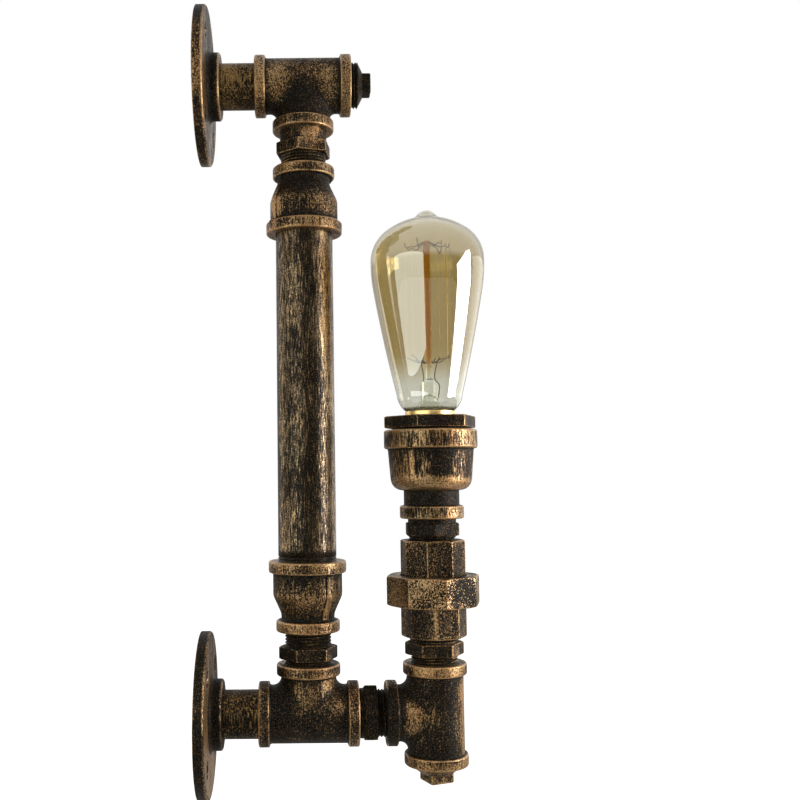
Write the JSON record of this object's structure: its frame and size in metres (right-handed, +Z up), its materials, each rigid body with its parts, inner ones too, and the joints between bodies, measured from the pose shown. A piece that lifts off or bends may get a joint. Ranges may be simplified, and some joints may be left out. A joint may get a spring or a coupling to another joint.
{
  "type": "pipe wall light",
  "caption": "Wall light built from screwed pipe fittings: a column between round wall flanges, and an arm with an upright tapered bulb in a hexagon-topped cup.",
  "frame": {"origin": "centre of the lower wall flange's back face, which lies on the wall", "axes": "+X out of the wall towards the lamp, +Z up along the column, +Y away from the viewer of the picture"},
  "size_m": [0.1658, 0.092, 0.456],
  "materials": {
    "antique_fitting": "dark antique copper, edges worn bright",
    "bronzed_pipe": "brushed dark bronze",
    "lead_sheath": "matt",
    "gasket_rubber": "matt",
    "zinc_steel": "zinc plated",
    "white_ceramic": "glazed ceramic",
    "plain_brass": "plain",
    "cap_brass": "polished",
    "solder": "dull",
    "black_glass": "glossy",
    "amber_glass": "amber tint that fades towards the neck",
    "clear_glass": "clear",
    "fine_wire": "dull"
  },
  "bodies": {
    "wall_frame": {"lower_flange": "antique_fitting", "lower_wall_nipple": "bronzed_pipe", "lower_tee": "antique_fitting", "upper_flange": "antique_fitting", "upper_wall_nipple": "bronzed_pipe", "upper_tee": "antique_fitting", "upper_plug": "antique_fitting", "lower_hex_nipple": "antique_fitting", "upper_hex_nipple": "antique_fitting", "lower_reducer": "antique_fitting", "upper_reducer": "antique_fitting", "long_pipe": "bronzed_pipe", "frame_lead": "lead_sheath", "arm_hex_nipple": "antique_fitting"},
    "arm": {"arm_tee": "antique_fitting", "arm_plug": "antique_fitting", "riser_hex_nipple": "antique_fitting", "arm_lead": "lead_sheath", "union_bottom": "antique_fitting", "union_gasket": "gasket_rubber"},
    "union_nut": {"union_nut": "antique_fitting"},
    "head": {"union_top": "antique_fitting", "head_hex_nipple": "antique_fitting", "lamp_cup": "antique_fitting", "cup_bushing": "antique_fitting", "holder_washer": "zinc_steel", "holder_nut": "zinc_steel", "holder_tube": "zinc_steel", "holder_bridge": "zinc_steel", "holder_body": "white_ceramic", "holder_shell": "plain_brass", "holder_contact": "plain_brass", "live_terminal": "plain_brass", "neutral_terminal": "plain_brass", "head_lead": "lead_sheath"},
    "bulb_tip": {"bulb_tip": "solder"},
    "bulb": {"bulb_insulator": "black_glass", "bulb_cap": "cap_brass", "bulb_glass": "amber_glass", "bulb_stem": "clear_glass", "upper_hooks": "fine_wire", "lower_hooks": "fine_wire", "filament": "fine_wire", "left_lead_in_wire": "fine_wire", "right_lead_in_wire": "fine_wire"}
  },
  "joints": [
    {"name": "arm_turn", "type": "hinge", "parent": "wall_frame", "child": "arm", "pos_m": [0.1046, 0, 0], "axis": [1, 0, 0], "range_deg": [-90, 90]},
    {"name": "union_nut_turn", "type": "hinge", "parent": "arm", "child": "union_nut", "pos_m": [0.1328, 0, 0.0602], "axis": [0, 0, 1], "range_deg": [0, 360]},
    {"name": "head_swivel", "type": "hinge", "parent": "arm", "child": "head", "pos_m": [0.1328, 0, 0.0712], "axis": [0, 0, 1], "range_deg": [-170, 170]},
    {"name": "bulb_advance", "type": "slide", "parent": "head", "child": "bulb_tip", "axis": [0, 0, 1], "range_m": [0, 0.01086]},
    {"name": "bulb_turn", "type": "hinge", "parent": "bulb_tip", "child": "bulb", "pos_m": [0.1328, 0, 0.1434], "axis": [0, 0, 1], "range_deg": [0, 1080]}
  ],
  "couplings": [
    {"joint": "bulb_advance", "follows": "bulb_turn", "m_per_rad": 0.00057614}
  ]
}
